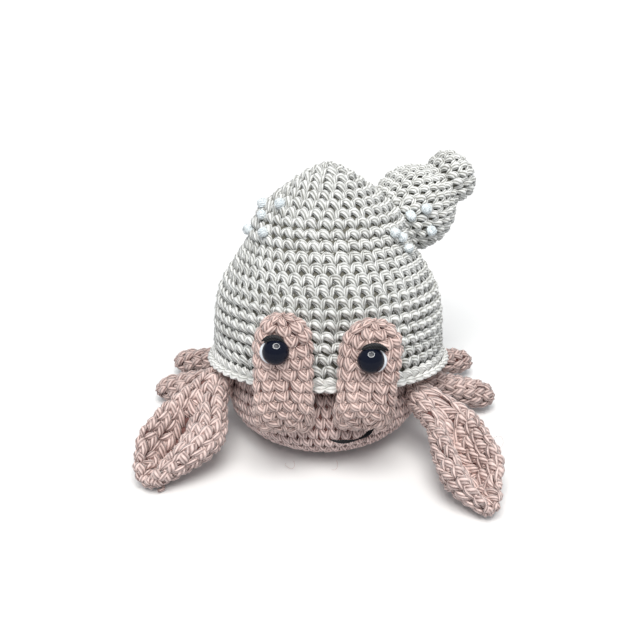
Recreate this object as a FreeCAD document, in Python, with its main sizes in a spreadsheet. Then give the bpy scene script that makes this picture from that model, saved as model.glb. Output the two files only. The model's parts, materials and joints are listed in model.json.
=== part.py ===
import FreeCAD, Part
import math
import os
import Sketcher
from FreeCAD import Placement, Rotation, Vector

# A crocheted hermit crab: a stuffed round body that carries a lift-off snail shell, two flat
# eye stalks, two grooved claws and four legs. Lengths are in millimetres and angles in degrees.
# The origin is the centre of the flat patch under the body; -Y is the front and +Z is up.

doc = FreeCAD.newDocument("hermit_crab")
sheet = doc.addObject("Spreadsheet::Sheet", "sizes")
pieces = []

# Driving sizes, one row each: name, value and meaning
SIZES = [
    ("cloth", 2.1, "thickness of the crocheted cloth"),
    ("stuffing_gap", 0.15, "play between stuffing and cloth"),
    ("seam_gap", 0.1, "play where one cover is sewn on another"),
    ("joint_gap", 0.3, "play between the body and a limb"),
    ("chamber_gap", 0.4, "play between the abdomen and the shell"),
    ("overrun", 2.0, "how far a cutting form runs past a face"),
    ("body_radius", 33.3, "radius of the body at its widest"),
    ("body_waist", 14.0, "height of the body's widest level"),
    ("body_rise", 34.5, "from the widest level to the crown"),
    ("body_press", 0.5, "how deep the body's foot is pressed flat"),
    ("body_left", 1.0, "body axis left of the middle"),
    ("body_back", 1.5, "body axis behind the origin"),
    ("shell_radius", 39.6, "shell radius just above its edging"),
    ("shell_height", 64.4, "from the top of the edging to the peak"),
    ("shell_wall", 2.5, "thickness of the shell's cloth"),
    ("shell_rounds", 19, "rounds of stitches in the shell"),
    ("row_groove", 0.9, "depth of the groove between two rounds"),
    ("row_hollow", 1.4, "radius of that groove's hollow"),
    ("shell_tilt", 13.6, "lean of the shell's axis to the back"),
    ("shell_right", 0.5, "rim centre right of the middle"),
    ("shell_back", 7.0, "rim centre behind the origin"),
    ("shell_lift", 23.6, "height of the rim centre"),
    ("edging_height", 3.0, "height of the braided edging"),
    ("edging_flare", 1.7, "how far the edging stands out"),
    ("abdomen_drop", 8.0, "how far the abdomen reaches below the edging's top"),
    ("spire_radius", 13.7, "radius of the spire's round lobe"),
    ("spire_length", 38.6, "length of the spire along its axis"),
    ("spire_out", 34.3, "lobe centre from the shell's axis"),
    ("spire_level", 50.0, "lobe centre above the rim"),
    ("spire_azimuth", 22.3, "direction of the lobe about the shell's axis"),
    ("spire_rise", 34.6, "upward slope of the spire's axis"),
    ("knot_radius", 1.75, "radius of a yarn knot"),
    ("stalk_width", 19.8, "width of an eye stalk"),
    ("stalk_depth", 6.6, "thickness of an eye stalk"),
    ("rim_gap", 0.4, "play between the rising rim and the stalks"),
    ("stalk_splay", 3.0, "how far the right stalk's top leans outward"),
    ("stalk_left_offset", 14.0, "left stalk from the middle"),
    ("stalk_left_foot", 19.0, "height of the left stalk's foot"),
    ("stalk_left_height", 41.6, "length of the left stalk"),
    ("stalk_right_offset", 11.2, "right stalk's foot from the middle"),
    ("stalk_right_foot", 19.8, "height of the right stalk's foot"),
    ("stalk_right_height", 39.0, "length of the right stalk"),
    ("eye_radius", 4.0, "radius of the eye's dome"),
    ("eye_height", 3.3, "height of the eye's dome"),
    ("eye_left_shift", 2.2, "left eye outward of its stalk's middle"),
    ("eye_right_shift", 0.1, "right eye outward of its stalk's middle"),
    ("eye_left_level", 50.6, "height of the left eye"),
    ("eye_right_level", 48.0, "height of the right eye"),
    ("shank_radius", 1.3, "radius of the eye's shank"),
    ("shank_gap", 0.1, "play round the shank"),
    ("washer_radius", 3.5, "radius of the locking washer"),
    ("washer_thickness", 1.0, "thickness of the locking washer"),
    ("felt_radius", 4.15, "radius of the white felt disc"),
    ("felt_thickness", 0.6, "thickness of the white felt disc"),
    ("felt_shift", 1.4, "felt disc outward of the eye"),
    ("lid_radius", 5.2, "radius of the lash line's curve"),
    ("lid_thread", 0.7, "radius of the lash line's thread"),
    ("mouth_thread", 0.55, "radius of the mouth's thread"),
    ("mouth_level", 14.3, "height of the mouth's straight stitch"),
    ("mouth_start", 2.2, "left end of the mouth"),
    ("mouth_bend", 10.4, "where the mouth turns up"),
    ("mouth_end", 15.4, "right end of the mouth"),
    ("mouth_rise", 3.0, "how far the mouth turns up"),
    ("claw_width", 22.5, "width of a claw"),
    ("claw_depth", 12.6, "thickness of a claw"),
    ("claw_root", 5.2, "radius of a claw's rounded root"),
    ("claw_tip", 9.0, "from a claw's tip centre to its end"),
    ("claw_left_reach", 35.6, "from the left hinge to the tip centre"),
    ("claw_right_reach", 38.8, "from the right hinge to the tip centre"),
    ("claw_level", 20.6, "height of the claws' hinges"),
    ("leg_level", 13.0, "height of the legs' hinges"),
    ("leg_root", 3.8, "radius of a leg's rounded root"),
    ("leg_tip", 3.6, "from a leg's tip centre to its end"),
    ("leg_slim_radius", 4.4, "radius of the slimmer legs"),
    ("leg_stout_radius", 4.9, "radius of the stouter legs"),
    ("leg_front_left_reach", 22.0, "front left leg, hinge to tip centre"),
    ("leg_rear_left_reach", 24.6, "rear left leg, hinge to tip centre"),
    ("leg_front_right_reach", 21.4, "front right leg, hinge to tip centre"),
    ("leg_rear_right_reach", 23.8, "rear right leg, hinge to tip centre"),
]
for row, (alias, value, meaning) in enumerate(SIZES, 1):
    sheet.set(f"A{row}", meaning)
    sheet.set(f"B{row}", str(value))
    sheet.setAlias(f"B{row}", alias)
doc.recompute()

# Limb directions: place about the body's axis, heading seen from above, and droop
CLAW_ANGLES = {"left": (193.5, 238.0, 21.5), "right": (330.5, 295.0, 19.6)}
LEG_ANGLES = {
    "front_left": (167.8, 170.0, 19.6),
    "rear_left": (146.0, 155.6, 17.2),
    "front_right": (8.0, 3.4, 19.0),
    "rear_right": (33.5, 24.5, 16.7),
}
STOUT_LEGS = ("front_right",)

# Round forms, from end to end: share of the length and share of the radius
BODY_SHARES = [(0.0, 0.38), (0.036, 0.625), (0.082, 0.79), (0.144, 0.915), (0.216, 0.98),
               (0.289, 1.0), (0.4, 0.975), (0.52, 0.91), (0.64, 0.81), (0.76, 0.67), (0.87, 0.5),
               (0.95, 0.31), (1.0, 0.12)]
SHELL_SHARES = [(0.0, 1.0), (0.08, 0.994), (0.17, 0.992), (0.26, 0.977), (0.342, 0.947), (0.413, 0.895),
                (0.483, 0.83), (0.548, 0.763), (0.6, 0.708), (0.64, 0.686), (0.7, 0.66), (0.77, 0.59),
                (0.83, 0.49), (0.885, 0.37), (0.93, 0.27), (0.97, 0.165), (1.0, 0.06)]
ABDOMEN_SHARES = [(0.0, 0.62), (0.04, 0.78), (0.1, 0.9), (0.19, 0.965), (0.3, 0.985),
                  (0.4, 0.982), (0.5, 0.965), (0.6, 0.93), (0.7, 0.87), (0.79, 0.77), (0.88, 0.6),
                  (0.95, 0.38), (1.0, 0.15)]
SPIRE_SHARES = [(0.0, 0.2), (0.03, 0.44), (0.09, 0.7), (0.19, 0.92), (0.35, 1.0), (0.5, 0.93),
                (0.6, 0.77), (0.67, 0.62), (0.74, 0.575), (0.81, 0.585), (0.88, 0.53), (0.94, 0.4),
                (0.98, 0.23), (1.0, 0.1)]
LEG_SHARES = [(0.0, 0.2), (0.03, 0.46), (0.08, 0.7), (0.15, 0.84), (0.3, 0.87), (0.5, 0.93), (0.7, 1.0),
              (0.84, 0.97), (0.92, 0.78), (0.97, 0.5), (1.0, 0.2)]

# Stalk sections, foot to top: share of the height, share of the way from the body's skin to the
# path of the shell's rising rim, and shares of width and depth
STALK_SHARES = [(0.0, 0.0, 0.84, 0.25), (0.02, 0.0, 0.9, 0.6), (0.05, 0.03, 0.95, 0.88),
                (0.09, 0.12, 0.98, 1.0), (0.2, 0.56, 1.0, 1.0), (0.3, 0.93, 1.0, 1.0), (0.35, 1.0, 0.99, 1.0),
                (0.5, 1.0, 0.98, 1.0), (0.65, 1.0, 0.99, 1.0), (0.78, 1.0, 0.97, 1.0),
                (0.87, 1.0, 0.87, 0.97), (0.935, 1.0, 0.68, 0.86), (0.978, 1.0, 0.44, 0.62),
                (1.0, 1.0, 0.24, 0.36)]

# Claw sections, root to tip: shares of length, width, depth and groove depth
CLAW_SHARES = [(0.0, 0.2, 0.34, 0.03), (0.03, 0.36, 0.6, 0.04), (0.09, 0.47, 0.78, 0.05),
               (0.2, 0.6, 0.88, 0.1), (0.34, 0.8, 0.97, 0.22), (0.5, 0.95, 1.0, 0.4),
               (0.66, 1.0, 1.0, 0.54), (0.79, 0.95, 0.95, 0.56), (0.89, 0.78, 0.82, 0.54),
               (0.96, 0.52, 0.6, 0.44), (1.0, 0.24, 0.32, 0.3)]

# A claw section's shares of its half width: where a lobe is highest, its shoulder and its lip
CLAW_LOBE_SHARE, CLAW_SHOULDER_SHARE, CLAW_LIP_SHARE = 0.5, 0.9, 0.2
CLAW_SPREAD_SHARE = math.sqrt(3)

# How much of the shell's height the abdomen and the wad in the peak take
ABDOMEN_HEIGHT_SHARE = 0.621
WAD_HEIGHT_SHARE = 0.233

# Where a lash line starts and ends about its eye
LID_ANGLES = {"left": (44, 140), "right": (38, 130)}

# Yarn knots on the shell and its spire: direction about the shell's axis and height share
KNOT_LEFT_SHARES = [(218.0, 0.815), (184.0, 0.785), (203.0, 0.75), (184.0, 0.65), (216.0, 0.68)]
KNOT_RIGHT_SHARES = [(325.0, 0.675), (333.0, 0.64), (337.0, 0.58)]
KNOT_SPIRE_ANGLES = [(277.0, 21.0), (255.0, 10.0), (285.0, -12.0)]


def size(alias):
    """A driving size's value."""
    return float(sheet.get(alias))


def plane(body, role):
    """One of the body's own origin planes."""
    return [item for item in body.Origin.OriginFeatures if item.Role == role][0]


def new_sketch(body, name, role="XY_Plane"):
    """A sketch on one of the body's own origin planes."""
    sketch = body.newObject("Sketcher::SketchObject", name)
    sketch.AttachmentSupport = [(plane(body, role), "")]
    sketch.MapMode = "FlatFace"
    return sketch


def fix_point(sketch, edge, end, across, along):
    """Ties one end of an edge to two expressions."""
    for kind, text in (("DistanceX", across), ("DistanceY", along)):
        if text == "0":
            axis = -2 if kind == "DistanceX" else -1
            sketch.addConstraint(Sketcher.Constraint("PointOnObject", edge, end, axis))
            continue
        index = sketch.addConstraint(Sketcher.Constraint(kind, -1, 1, edge, end, 1.0))
        sketch.setExpression(f"Constraints[{index}]", text)


def ring(body, name, height, radius):
    """A round section of four quarter arcs, square to the body's Z axis."""
    sketch = new_sketch(body, name)
    sketch.setExpression("AttachmentOffset.Base.z", height)
    circle = Part.Circle(Vector(0, 0, 0), Vector(0, 0, 1), size("cloth"))
    quarter = math.pi / 2
    for index in range(4):
        sketch.addGeometry(Part.ArcOfCircle(circle, index * quarter, (index + 1) * quarter))
    for index in range(4):
        sketch.addConstraint(Sketcher.Constraint("Coincident", index, 3, -1, 1))
        sketch.addConstraint(Sketcher.Constraint("Coincident", index, 2, (index + 1) % 4, 1))
        sketch.addConstraint(Sketcher.Constraint("PointOnObject", index, 1, -1 if index % 2 == 0 else -2))
    constraint = sketch.addConstraint(Sketcher.Constraint("Radius", 0, size("cloth")))
    sketch.setExpression(f"Constraints[{constraint}]", radius)
    return sketch


def round_form(name, shares, length, radius, inset="0", place=None, open_foot=None):
    """A closed form of round sections along its own Z axis, drawn in by the inset.

    With an open foot the first section isn't drawn in, and the form runs below it by that much.
    """
    body = doc.addObject("PartDesign::Body", name)
    if open_foot:
        rings = [ring(body, f"{name}_ring_foot", f"-({open_foot})", f"({radius} - {inset}) * {shares[0][1]}")]
    else:
        rings = []
    for index, (height_share, radius_share) in enumerate(shares):
        if open_foot:
            height = f"({length} - {inset}) * {height_share}"
        else:
            height = f"{inset} + ({length} - 2 * {inset}) * {height_share}"
        rings.append(ring(body, f"{name}_ring_{index}", height, f"({radius} - {inset}) * {radius_share}"))
    loft = body.newObject("PartDesign::AdditiveLoft", f"{name}_loft")
    loft.Profile = rings[0]
    loft.Sections = rings[1:]
    if place:
        body.Placement = place
    return body


def joined(name, *forms):
    """Several forms as one."""
    fuse = doc.addObject("Part::MultiFuse", name)
    fuse.Shapes = list(forms)
    return fuse


def cut(name, base, tool):
    """The base without the tool."""
    result = doc.addObject("Part::Cut", name)
    result.Base = base
    result.Tool = tool
    return result


def shaped(name, shape):
    """A form whose shape is set directly."""
    feature = doc.addObject("Part::Feature", name)
    feature.Shape = shape
    return feature


def piece(label, item):
    """Marks an object as a finished piece under its own name."""
    item.Label = label
    pieces.append(item)
    return item


def aimed(point, heading, droop):
    """A place whose Z axis heads along the floor and down, with its Y axis up."""
    spin, fall = math.radians(heading), math.radians(droop)
    ahead = Vector(math.cos(spin) * math.cos(fall), math.sin(spin) * math.cos(fall), -math.sin(fall))
    side = Vector(0, 0, 1).cross(ahead).normalize()
    return Placement(point, Rotation(side, ahead.cross(side), ahead, "ZXY"))


# The body: a flat-footed bun, and an abdomen on the shell's axis that fills the shell's chamber
BODY_PLACE = Placement(Vector(-size("body_left"), size("body_back"), -size("body_press")), Rotation())
SHELL_TURN = Rotation(Vector(1, 0, 0), -size("shell_tilt"))
SHELL_PLACE = Placement(Vector(size("shell_right"), size("shell_back"), size("shell_lift")), SHELL_TURN)


def on_shell(across, back, up):
    """A point given in the shell's own directions."""
    return SHELL_PLACE.multVec(Vector(across, back, up))


COVER_PLACE = Placement(on_shell(0, 0, size("edging_height")), SHELL_TURN)
ABDOMEN_PLACE = Placement(on_shell(0, 0, size("edging_height") - size("abdomen_drop")), SHELL_TURN)
BODY_LENGTH = "(sizes.body_waist + sizes.body_rise)"
ABDOMEN_LENGTH = f"(sizes.abdomen_drop + sizes.shell_height * {ABDOMEN_HEIGHT_SHARE})"
ABDOMEN_RADIUS = "(sizes.shell_radius - sizes.shell_wall - sizes.chamber_gap)"


def body_form(name, inset):
    """The bun and the abdomen together, drawn in by the inset."""
    bun = round_form(f"{name}_bun", BODY_SHARES, BODY_LENGTH, "sizes.body_radius", inset, BODY_PLACE)
    sizes = (ABDOMEN_LENGTH, ABDOMEN_RADIUS)
    abdomen = round_form(f"{name}_abdomen", ABDOMEN_SHARES, *sizes, inset, ABDOMEN_PLACE)
    return joined(name, bun, abdomen)


def body_radius_at(height):
    """The body's radius at a height, read along its table of shares."""
    share = (height + size("body_press")) / (size("body_waist") + size("body_rise"))
    for (low, first), (high, last) in zip(BODY_SHARES, BODY_SHARES[1:]):
        if low <= share <= high:
            return size("body_radius") * (first + (last - first) * (share - low) / (high - low))
    return 0.0


def make_body():
    """The body's cover, pressed flat where it stands, and its stuffing."""
    outside = body_form("body_outside", "0")
    bag = cut("body_bag", outside, body_form("body_hollow", "sizes.cloth"))
    floor = doc.addObject("Part::Cylinder", "body_floor")
    floor.setExpression("Radius", "sizes.body_radius + sizes.overrun")
    floor.setExpression("Height", "sizes.body_press + sizes.overrun")
    floor.setExpression("Placement.Base.x", "-sizes.body_left")
    floor.setExpression("Placement.Base.y", "sizes.body_back")
    floor.setExpression("Placement.Base.z", "-(sizes.body_press + sizes.overrun)")
    piece("body_cover", cut("body_pressed", bag, floor))
    piece("body_stuffing", body_form("body_fill", "(sizes.cloth + sizes.stuffing_gap)"))


def make_mouth():
    """Two straight stitches of black thread that lie on the body's front."""
    radius, thread, level = size("body_radius"), size("mouth_thread"), size("mouth_level")
    bend, end = size("mouth_bend"), size("mouth_end")
    spans = [((size("mouth_start"), level), (bend - thread, level)),
             ((bend + thread, level), (end, level + size("mouth_rise")))]
    stitches = []
    for index, ((start, low), (stop, high)) in enumerate(spans):
        ends = []
        for across, height in ((start, low), (stop, high)):
            away = body_radius_at(height) + thread + 2 * size("joint_gap")
            offset = across + size("body_left")
            front = size("body_back") - math.sqrt(away * away - offset * offset)
            ends.append(Vector(across, front, height))
        run = ends[1] - ends[0]
        stitch = doc.addObject("Part::Cylinder", f"mouth_stitch_{index}")
        stitch.setExpression("Radius", "sizes.mouth_thread")
        stitch.Height = run.Length
        stitch.Placement = Placement(ends[0], Rotation(Vector(0, 0, 1), run))
        stitches.append(stitch)
    mouth = doc.addObject("Part::Compound", "mouth")
    mouth.Links = stitches
    piece("mouth_stitches", mouth)


def shell_form(name, inset, foot=None):
    """The shell's dome, drawn in by the inset, closed or running on below its foot."""
    sizes = ("sizes.shell_height", "sizes.shell_radius")
    return round_form(name, SHELL_SHARES, *sizes, inset, COVER_PLACE, foot)


def row_grooves():
    """The grooves between the shell's rounds of stitches: rings cut into its outside, a round apart."""
    profile = [Vector(size("shell_radius") * wide, 0, size("shell_height") * up) for up, wide in SHELL_SHARES]
    spans = [(last - first).Length for first, last in zip(profile, profile[1:])]
    rounds = int(size("shell_rounds"))
    rings = []
    for number in range(1, rounds):
        way, index = sum(spans) * number / rounds, 0
        while way > spans[index]:
            way -= spans[index]
            index += 1
        run = (profile[index + 1] - profile[index]).normalize()
        outward = Vector(run.z, 0, -run.x)
        centre = profile[index] + run * way + outward * (size("row_hollow") - size("row_groove"))
        if centre.x < 2 * size("row_hollow"):
            continue
        ring_cut = doc.addObject("Part::Torus", f"row_groove_{number}")
        ring_cut.Radius1 = centre.x
        ring_cut.setExpression("Radius2", "sizes.row_hollow")
        ring_cut.Placement = raised(COVER_PLACE, centre.z)
        rings.append(ring_cut)
    grooves = doc.addObject("Part::Compound", "row_grooves")
    grooves.Links = rings
    return grooves


def make_shell():
    """The shell's cloth, the wad in its peak and its braided edging."""
    dome = shell_form("shell_dome", "0")
    hollow = shell_form("shell_chamber", "sizes.shell_wall", "sizes.overrun")
    piece("shell_cover", cut("shell_rows", cut("shell_hat", dome, hollow), row_grooves()))

    wad = shell_form("shell_wad", "(sizes.shell_wall + sizes.stuffing_gap)", "sizes.overrun")
    below = doc.addObject("Part::Cylinder", "below_wad")
    below.setExpression("Radius", "sizes.shell_radius + sizes.overrun")
    start = f"sizes.shell_height * {1 - WAD_HEIGHT_SHARE} - sizes.shell_wall"
    below.setExpression("Height", f"{start} + 2 * sizes.overrun")
    below.Placement = raised(COVER_PLACE, -2 * size("overrun"))
    piece("shell_stuffing", cut("shell_filled", wad, below))

    edging = doc.addObject("PartDesign::Body", "edging_body")
    sketch = new_sketch(edging, "edging_section", "XZ_Plane")
    inner = "sizes.shell_radius - sizes.shell_wall"
    corners = [(f"{inner} + sizes.edging_flare", "0"), ("sizes.shell_radius + sizes.edging_flare", "0"),
               ("sizes.shell_radius", "sizes.edging_height"), (inner, "sizes.edging_height")]
    reach, rise = size("shell_radius"), size("edging_height")
    rough = [(reach - rise, 0), (reach + rise, 0), (reach, rise), (reach - rise, rise)]
    for index in range(4):
        start, stop = rough[index], rough[(index + 1) % 4]
        sketch.addGeometry(Part.LineSegment(Vector(*start, 0), Vector(*stop, 0)))
    for index, (across, along) in enumerate(corners):
        sketch.addConstraint(Sketcher.Constraint("Coincident", index, 2, (index + 1) % 4, 1))
        fix_point(sketch, index, 1, across, along)
    turn = edging.newObject("PartDesign::Revolution", "edging_turn")
    turn.Profile = sketch
    turn.ReferenceAxis = (sketch, ["V_Axis"])
    turn.Angle = 360
    edging.Placement = SHELL_PLACE
    piece("shell_edging", edging)


def spire_place():
    """The spire's foot and axis, in line with its lobe's centre."""
    azimuth, rise = math.radians(size("spire_azimuth")), math.radians(size("spire_rise"))
    out = Vector(math.cos(azimuth), math.sin(azimuth), 0)
    axis = out * math.cos(rise) + Vector(0, 0, math.sin(rise))
    widest = size("spire_length") * SPIRE_SHARES[4][0]
    foot = out * size("spire_out") + Vector(0, 0, size("spire_level")) - axis * widest
    return Placement(on_shell(*foot), SHELL_TURN.multiply(Rotation(Vector(0, 0, 1), axis)))


def spire_form(name, inset):
    """The spire's two lobes, drawn in by the inset."""
    return round_form(name, SPIRE_SHARES, "sizes.spire_length", "sizes.spire_radius", inset, spire_place())


def make_spire():
    """The spire's cover and stuffing, both open where they are sewn on the shell."""
    bag = cut("spire_bag", spire_form("spire_outside", "0"), spire_form("spire_hollow", "sizes.cloth"))
    piece("spire_cover", cut("spire_sewn", bag, shell_form("spire_seat", "-sizes.seam_gap")))
    fill = spire_form("spire_fill", "(sizes.cloth + sizes.stuffing_gap)")
    seat = shell_form("spire_fill_seat", "-(sizes.seam_gap + sizes.stuffing_gap)")
    piece("spire_stuffing", cut("spire_filled", fill, seat))


def dome_point(azimuth, share):
    """A point on the shell's outside, by direction and height share."""
    for (low, first), (high, last) in zip(SHELL_SHARES, SHELL_SHARES[1:]):
        if low <= share <= high:
            radius = size("shell_radius") * (first + (last - first) * (share - low) / (high - low))
    spin = math.radians(azimuth)
    level = size("edging_height") + size("shell_height") * share
    return on_shell(radius * math.cos(spin), radius * math.sin(spin), level)


def lobe_point(azimuth, slope):
    """A point on the outside of the spire's round lobe."""
    centre = spire_place().multVec(Vector(0, 0, size("spire_length") * SPIRE_SHARES[4][0]))
    spin, rise = math.radians(azimuth), math.radians(slope)
    way = Vector(math.cos(spin) * math.cos(rise), math.sin(spin) * math.cos(rise), math.sin(rise))
    return centre + way * size("spire_radius")


def make_knots():
    """Knots of white yarn, half sunk in the loops of the shell on the left and by the spire."""
    groups = {
        "left": [dome_point(*place) for place in KNOT_LEFT_SHARES],
        "right": [dome_point(*place) for place in KNOT_RIGHT_SHARES],
    }
    groups["right"] += [lobe_point(*place) for place in KNOT_SPIRE_ANGLES]
    for side, points in groups.items():
        balls = []
        for index, point in enumerate(points):
            ball = doc.addObject("Part::Sphere", f"knot_{side}_{index}")
            ball.setExpression("Radius", "sizes.knot_radius")
            ball.Placement = Placement(point, Rotation())
            balls.append(ball)
        knots = joined(f"knots_{side}", *balls)
        knots = cut(f"knots_{side}_on_shell", knots, shell_form(f"knots_{side}_seat", "-sizes.seam_gap"))
        if side == "right":
            knots = cut("knots_right_on_spire", knots, spire_form("knots_spire_seat", "-sizes.seam_gap"))
        piece(f"shell_knots_{side}", knots)


def stalk_hinge(side):
    """The middle of the stalk's rounded foot, whose flat back just clears the body."""
    half_depth = size("stalk_depth") / 2
    level = size(f"stalk_{side}_foot") + half_depth
    across = size(f"stalk_{side}_offset") * (-1 if side == "left" else 1)
    nearest = max(abs(across + size("body_left")) - size("stalk_width") / 2 + half_depth, 0)
    away = body_radius_at(size(f"stalk_{side}_foot")) + size("joint_gap")
    skin = size("body_back") - math.sqrt(away * away - nearest * nearest)
    return Vector(across, skin - half_depth, level)


def rim_path(side, level):
    """The front of the path that the shell's rim takes when it is lifted, behind the stalk at a height."""
    inner = size(f"stalk_{side}_offset") - size("stalk_width") / 2
    reach = size("shell_radius") + size("edging_flare") + size("rim_gap")
    start = on_shell(0, -math.sqrt(reach * reach - inner * inner), 0)
    axis = SHELL_TURN.multVec(Vector(0, 0, 1))
    return start.y + axis.y / axis.z * (level - start.z)


def stalk_back(side, level):
    """The stalk's back face at a height: on the body's skin below, and along the rim's path above."""
    skin = stalk_hinge(side).y + size("stalk_depth") / 2
    share = (level - size(f"stalk_{side}_foot")) / size(f"stalk_{side}_height")
    for low, high in zip(STALK_SHARES, STALK_SHARES[1:]):
        if low[0] <= share <= high[0]:
            way = low[1] + (high[1] - low[1]) * (share - low[0]) / (high[0] - low[0])
    return skin + (rim_path(side, level) - skin) * way


def stalk_middle(side, level):
    """How far across the stalk's middle is at a height."""
    share = (level - size(f"stalk_{side}_foot")) / size(f"stalk_{side}_height")
    return stalk_hinge(side).x + (size("stalk_splay") * share if side == "right" else 0)


def stalk_loft(side, inset):
    """The stalk's flat round-topped tube, drawn in by the inset."""
    foot, height = size(f"stalk_{side}_foot"), size(f"stalk_{side}_height")
    wires = []
    for rise, way, width_share, depth_share in STALK_SHARES:
        level = foot + inset + (height - 2 * inset) * rise
        wide = (size("stalk_width") / 2 - inset) * width_share
        deep = (size("stalk_depth") / 2 - inset) * depth_share
        middle = Vector(stalk_middle(side, level), stalk_back(side, level) - size("stalk_depth") / 2, level)
        wires.append(flat_oval(middle, wide, deep))
    return Part.makeLoft(wires, True, False)


def flat_oval(middle, wide, deep):
    """A level section with straight front and back and two quarter arcs at each side."""
    straight = wide - deep
    diagonal = deep * math.sqrt(0.5)
    edges = []
    for across, forward in ((1, 1), (-1, 1), (-1, -1), (1, -1)):
        side_point = middle + Vector(across * wide, 0, 0)
        face_point = middle + Vector(across * straight, forward * deep, 0)
        round_point = middle + Vector(across * (straight + diagonal), forward * diagonal, 0)
        arc = Part.Arc(side_point, round_point, face_point) if across == forward else \
            Part.Arc(face_point, round_point, side_point)
        edges.append(arc.toShape())
        if across == forward:
            opposite = middle + Vector(-across * straight, forward * deep, 0)
            edges.append(Part.LineSegment(face_point, opposite).toShape())
    return Part.Wire(edges)


def eye_place(side):
    """The point on the stalk's face behind the eye, with Z pointing outward and X away from the middle."""
    level = size(f"eye_{side}_level")
    tilt = math.radians(size("shell_tilt"))
    outward = -1 if side == "left" else 1
    face = stalk_back(side, level) - size("stalk_depth")
    point = Vector(stalk_middle(side, level) + outward * size(f"eye_{side}_shift"), face, level)
    ahead = Vector(0, -math.cos(tilt), math.sin(tilt))
    across = Vector(1, 0, 0)
    return Placement(point, Rotation(across, ahead.cross(across), ahead, "ZXY"))


def make_stalk(side):
    """The stalk's cover, with the hole that the eye's shank goes through."""
    outside = shaped(f"stalk_{side}_outside", stalk_loft(side, 0))
    inside = shaped(f"stalk_{side}_inside", stalk_loft(side, size("cloth")))
    bag = cut(f"stalk_{side}_bag", outside, inside)
    hole = doc.addObject("Part::Cylinder", f"stalk_{side}_hole")
    hole.setExpression("Radius", "sizes.shank_radius + sizes.shank_gap")
    hole.setExpression("Height", "sizes.cloth + 2 * sizes.overrun")
    place = eye_place(side)
    hole.Placement = place.multiply(Placement(Vector(0, 0, -size("cloth") - size("overrun") / 2), Rotation()))
    piece(f"eye_stalk_{side}", cut(f"stalk_{side}", bag, hole))


def disc(name, thickness, radius, hole, place, shift="0"):
    """A flat round disc with a hole, the hole off its middle by the shift."""
    body = doc.addObject("PartDesign::Body", name)
    sketch = new_sketch(body, f"{name}_outline")
    sketch.addGeometry(Part.Circle(Vector(0, 0, 0), Vector(0, 0, 1), size("washer_radius")))
    sketch.addGeometry(Part.Circle(Vector(0, 0, 0), Vector(0, 0, 1), size("shank_radius")))
    if shift == "0":
        sketch.addConstraint(Sketcher.Constraint("Coincident", 0, 3, -1, 1))
    else:
        fix_point(sketch, 0, 3, shift, "0")
    sketch.addConstraint(Sketcher.Constraint("Coincident", 1, 3, -1, 1))
    for index, text in enumerate((radius, hole)):
        constraint = sketch.addConstraint(Sketcher.Constraint("Radius", index, size("washer_radius")))
        sketch.setExpression(f"Constraints[{constraint}]", text)
    pad = body.newObject("PartDesign::Pad", f"{name}_pad")
    pad.Profile = sketch
    pad.setExpression("Length", thickness)
    body.Placement = place
    return body


def raised(place, height):
    """The same place, moved along its own Z axis."""
    return place.multiply(Placement(Vector(0, 0, height), Rotation()))


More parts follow.
